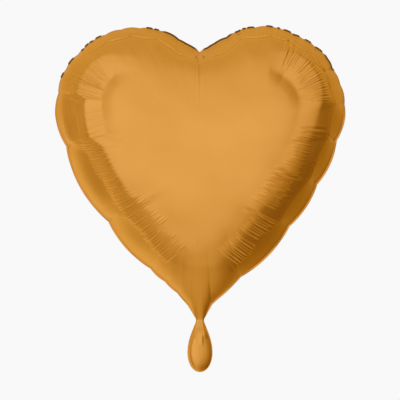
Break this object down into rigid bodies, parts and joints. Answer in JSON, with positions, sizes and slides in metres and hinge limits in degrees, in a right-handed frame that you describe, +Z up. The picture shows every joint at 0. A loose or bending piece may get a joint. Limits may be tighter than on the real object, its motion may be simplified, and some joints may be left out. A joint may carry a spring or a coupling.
{
  "type": "heart-shaped foil balloon",
  "caption": "Inflated heart-shaped foil balloon in satin gold film, with welded edge, pinched neck, self-sealing valve and teardrop tail.",
  "frame": {"origin": "middle of the pinched neck, where the ribbon is tied, in the plane of the seam", "axes": "+Z up through the heart, +X to the balloon's right side as seen from the front, the front faces -Y"},
  "size_m": [0.361, 0.174, 0.4285],
  "materials": {
    "gold_film": "satin metallised polyester film, tinted gold",
    "gold_weld": "the same film, two layers welded flat",
    "clear_film": "thin milky polyethylene film"
  },
  "bodies": {
    "envelope": {"front_film": "gold_film", "back_film": "gold_film", "edge_weld": "gold_weld"},
    "neck": {"neck_front_film": "gold_film", "neck_back_film": "gold_film"},
    "tail": {"tail_front_film": "gold_film", "tail_back_film": "gold_film", "tail_weld": "gold_weld"},
    "valve": {"valve_back_film": "clear_film"},
    "valve_lip": {"valve_front_film": "clear_film"}
  },
  "joints": [
    {"name": "tail_twist", "type": "hinge", "parent": "envelope", "child": "neck", "pos_m": [0, 0, 0], "axis": [0, 0, 1], "range_deg": [-90, 90]},
    {"name": "tail_swing", "type": "hinge", "parent": "neck", "child": "tail", "pos_m": [0, 0, -0.0065], "axis": [1, 0, 0], "range_deg": [-120, 120]},
    {"name": "valve_flop", "type": "hinge", "parent": "envelope", "child": "valve", "pos_m": [0, 0, 0.013], "axis": [1, 0, 0], "range_deg": [-20, 20]},
    {"name": "valve_open", "type": "slide", "parent": "valve", "child": "valve_lip", "axis": [0, -1, 0], "range_m": [0, 0.004]}
  ]
}
